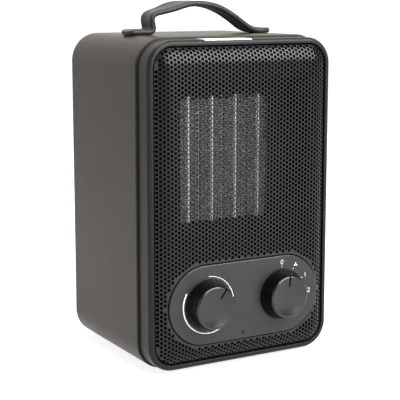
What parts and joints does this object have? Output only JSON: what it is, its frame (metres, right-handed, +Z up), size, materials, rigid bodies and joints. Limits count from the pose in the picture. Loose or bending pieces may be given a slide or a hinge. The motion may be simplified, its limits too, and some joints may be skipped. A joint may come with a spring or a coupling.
{
  "type": "ceramic space heater",
  "caption": "Upright portable ceramic fan heater: rounded box casing, perforated front grille, rotary knobs on a stadium panel, strap handle, fan and heating element inside.",
  "frame": {"origin": "centre of the footprint in X and Y, on the surface the feet stand on", "axes": "+X to the right seen from the front, +Y towards the rear, +Z up"},
  "size_m": [0.1554, 0.145, 0.265],
  "materials": {
    "casing": "satin",
    "bezel": "satin",
    "mesh": "satin",
    "inner_plastic": "matte",
    "panel": "satin",
    "knob": "satin",
    "lens": "gloss",
    "lamp": "gloss",
    "strap": "satin",
    "label": "matte",
    "rubber": "matte",
    "zinc_steel": "satin",
    "aluminium": "satin",
    "stone": "matte",
    "brass": "satin",
    "bakelite": "matte",
    "ceramic_white": "satin",
    "impeller": "satin",
    "laminated_steel": "satin",
    "winding": "satin",
    "nylon": "satin",
    "lead_brown": "satin",
    "lead_blue": "satin",
    "lead_sleeve": "matte",
    "lead_red": "satin"
  },
  "bodies": {
    "housing": {"casing": "casing", "front_bezel": "bezel", "grille": "mesh", "fascia": "inner_plastic", "control_panel": "panel", "indicator_lens": "lens", "indicator_lamp": "lamp", "handle_strap": "strap", "handle_plates": "zinc_steel", "handle_screws": "zinc_steel", "top_label": "label", "rear_cover": "bezel", "rear_cover_screws": "zinc_steel", "bezel_screws": "zinc_steel", "panel_screws": "zinc_steel", "feet": "rubber", "cord_gland": "rubber", "outlet_duct": "inner_plastic", "element_holders": "inner_plastic", "element_tubes": "aluminium", "ceramic_stones": "stone", "element_fins": "aluminium", "element_dividers": "aluminium", "element_terminals": "brass", "thermal_cutout": "bakelite", "thermal_fuse": "ceramic_white", "fuse_bracket": "zinc_steel", "fan_housing": "inner_plastic", "fan_housing_screws": "zinc_steel", "motor_stator": "laminated_steel", "motor_coil": "winding", "motor_brackets": "zinc_steel", "motor_bearings": "brass", "motor_screws": "zinc_steel", "control_bracket": "zinc_steel", "thermostat_body": "ceramic_white", "thermostat_nut": "zinc_steel", "selector_switch": "inner_plastic", "selector_nut": "zinc_steel", "tip_switch_body": "inner_plastic", "tip_spring": "zinc_steel", "lever_pin": "zinc_steel", "terminal_block": "ceramic_white", "live_lead": "lead_brown", "neutral_lead": "lead_blue", "element_leads": "lead_sleeve", "motor_lead": "lead_red"},
    "thermostat": {"thermostat_knob": "knob", "thermostat_shaft": "zinc_steel"},
    "selector": {"selector_knob": "knob", "selector_shaft": "zinc_steel"},
    "fan": {"fan_impeller": "impeller", "motor_shaft": "zinc_steel", "motor_rotor": "laminated_steel"},
    "plunger": {"tip_plunger": "nylon"},
    "lever": {"tip_lever": "zinc_steel"}
  },
  "joints": [
    {"name": "thermostat_turn", "type": "hinge", "parent": "housing", "child": "thermostat", "pos_m": [-0.0313, -0.0605, 0.0505], "axis": [0, 1, 0], "range_deg": [-32, 268]},
    {"name": "selector_turn", "type": "hinge", "parent": "housing", "child": "selector", "pos_m": [0.0313, -0.0605, 0.0505], "axis": [0, 1, 0], "range_deg": [0, 90]},
    {"name": "fan_spin", "type": "hinge", "parent": "housing", "child": "fan", "pos_m": [0, 0.0245, 0.1507], "axis": [0, 1, 0], "continuous": true},
    {"name": "tip_plunger_slide", "type": "slide", "parent": "housing", "child": "plunger", "axis": [0, 0, 1], "range_m": [-0.005, 0.0008], "stiffness_N_per_m": 80, "springref_m": -0.012, "deforming": ["tip_spring"]},
    {"name": "tip_lever_swing", "type": "hinge", "parent": "housing", "child": "lever", "pos_m": [0.0125, 0.0285, 0.0317], "axis": [0, 1, 0], "range_deg": [-19.5, 3.5]}
  ],
  "couplings": [
    {"joint": "tip_lever_swing", "follows": "tip_plunger_slide", "rad_per_m": 66}
  ]
}
